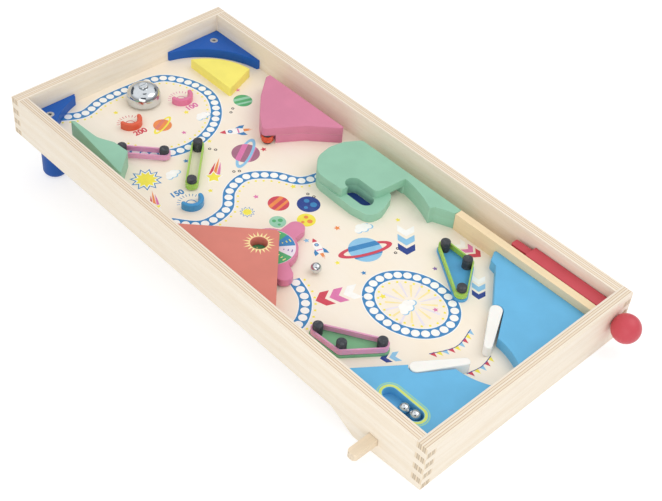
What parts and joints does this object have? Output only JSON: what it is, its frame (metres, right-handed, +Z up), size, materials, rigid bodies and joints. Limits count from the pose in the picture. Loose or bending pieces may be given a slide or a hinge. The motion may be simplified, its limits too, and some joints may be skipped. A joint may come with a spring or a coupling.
{
  "type": "bagatelle board game",
  "caption": "Tilted plywood tray with a sprung ball launcher, push-lever flippers, a lobed spinner, a bell, catch cups, painted guide blocks and rubber-banded posts.",
  "frame": {"origin": "centre of the whole plan, on the table", "axes": "+Y from the player's end to the far end, +X to the player's right, +Z up from the table; the playing surface rises towards +Y by the slope of the board"},
  "size_m": [0.335, 0.628, 0.1021],
  "materials": {
    "birch_ply": "satin",
    "printed_ply": "satin",
    "rail_wood": "satin",
    "lever_wood": "satin",
    "dark_blue_paint": "satin",
    "yellow_paint": "satin",
    "pink_paint": "satin",
    "green_paint": "satin",
    "coral_paint": "satin",
    "light_blue_paint": "satin",
    "wheel_paint": "satin",
    "dial_print": "printed",
    "red_paint": "satin",
    "white_plastic": "gloss",
    "crank_plastic": "matt",
    "cup_orange": "satin",
    "cup_pink": "satin",
    "cup_blue": "satin",
    "post_black": "matt",
    "band_pink": "satin",
    "band_green": "satin",
    "ring_red": "satin",
    "plate_green": "satin",
    "plate_blue": "satin",
    "foot_blue": "satin",
    "polished_steel": "polished",
    "zinc_steel": "zinc plated"
  },
  "bodies": {
    "board": {"left_wall": "birch_ply", "right_wall": "birch_ply", "near_wall": "birch_ply", "far_wall": "birch_ply", "playfield": "printed_ply", "lane_divider": "rail_wood", "corner_block_left": "dark_blue_paint", "corner_block_right": "dark_blue_paint", "yellow_block": "yellow_paint", "pink_block_base": "pink_paint", "pink_block_top": "pink_paint", "tunnel_base": "green_paint", "tunnel_roof": "green_paint", "wedge_block": "green_paint", "spinner_base": "coral_paint", "spinner_cover": "coral_paint", "spinner_axle": "zinc_steel", "apron_left": "light_blue_paint", "apron_right": "light_blue_paint", "lever_guides": "birch_ply", "lever_spring_left": "zinc_steel", "lever_spring_right": "zinc_steel", "lever_spring_block": "birch_ply", "launcher_cover": "red_paint", "launcher_spring": "zinc_steel", "cup_orange": "cup_orange", "cup_pink": "cup_pink", "cup_blue": "cup_blue", "band_posts": "post_black", "bumper_plate_left": "plate_green", "band_bumper_left": "band_pink", "bumper_plate_right": "plate_blue", "band_bumper_right": "band_green", "bumper_posts": "post_black", "band_far_pair": "band_pink", "band_mid_pair": "band_green", "ring_post": "post_black", "ring_bumper": "ring_red", "bell_gong": "polished_steel", "bell_base": "polished_steel", "bell_bolt": "polished_steel", "feet": "foot_blue", "foot_bolts": "zinc_steel", "block_screws": "zinc_steel"},
    "launcher": {"launcher_striker": "red_paint", "launcher_rod": "zinc_steel", "launcher_knob": "red_paint"},
    "lever_left": {"side_lever_left": "lever_wood"},
    "lever_right": {"side_lever_right": "lever_wood"},
    "flipper_left_body": {"flipper_left": "white_plastic", "flipper_shaft_left": "zinc_steel", "flipper_crank_left": "crank_plastic"},
    "flipper_right_body": {"flipper_right": "white_plastic", "flipper_shaft_right": "zinc_steel", "flipper_crank_right": "crank_plastic"},
    "spinner": {"spinner_wheel": "wheel_paint", "spinner_dial": "dial_print"},
    "free_ball": {"ball_in_play": "polished_steel"},
    "stored_ball_near": {"ball_stored_near": "polished_steel"},
    "stored_ball_far": {"ball_stored_far": "polished_steel"}
  },
  "joints": [
    {"name": "launcher_pull", "type": "slide", "parent": "board", "child": "launcher", "axis": [0, -0.9969, -0.0788], "range_m": [0, 0.035], "stiffness_N_per_m": 120, "springref_m": -0.02, "deforming": ["launcher_spring"]},
    {"name": "lever_left_push", "type": "slide", "parent": "board", "child": "lever_left", "axis": [1, 0, 0], "range_m": [0, 0.01817], "stiffness_N_per_m": 150, "springref_m": -0.008, "deforming": ["lever_spring_left"]},
    {"name": "lever_right_push", "type": "slide", "parent": "board", "child": "lever_right", "axis": [-1, 0, 0], "range_m": [0, 0.01817], "stiffness_N_per_m": 150, "springref_m": -0.008, "deforming": ["lever_spring_right"]},
    {"name": "flipper_left_swing", "type": "hinge", "parent": "board", "child": "flipper_left_body", "pos_m": [-0.06725, -0.2064, 0.02865], "axis": [0, -0.0788, 0.9969], "range_deg": [0, 50.2]},
    {"name": "flipper_right_swing", "type": "hinge", "parent": "board", "child": "flipper_right_body", "pos_m": [0.04075, -0.2064, 0.02865], "axis": [0, -0.0788, 0.9969], "range_deg": [-50.2, 0]},
    {"name": "spinner_spin", "type": "hinge", "parent": "board", "child": "spinner", "pos_m": [-0.0644, -0.01005, 0.04592], "axis": [0, -0.0788, 0.9969], "continuous": true},
    {"name": "free_ball_roll", "type": "slide", "parent": "board", "child": "free_ball", "axis": [0, -0.9969, -0.0788], "range_m": [0, 0.12]},
    {"name": "stored_ball_near_lift", "type": "slide", "parent": "board", "child": "stored_ball_near", "axis": [0, -0.0788, 0.9969], "range_m": [0, 0.03]},
    {"name": "stored_ball_far_lift", "type": "slide", "parent": "board", "child": "stored_ball_far", "axis": [0, -0.0788, 0.9969], "range_m": [0, 0.03]}
  ],
  "couplings": [
    {"joint": "flipper_left_swing", "follows": "lever_left_push", "rad_per_m": 48.021},
    {"joint": "flipper_right_swing", "follows": "lever_right_push", "rad_per_m": -48.021}
  ]
}
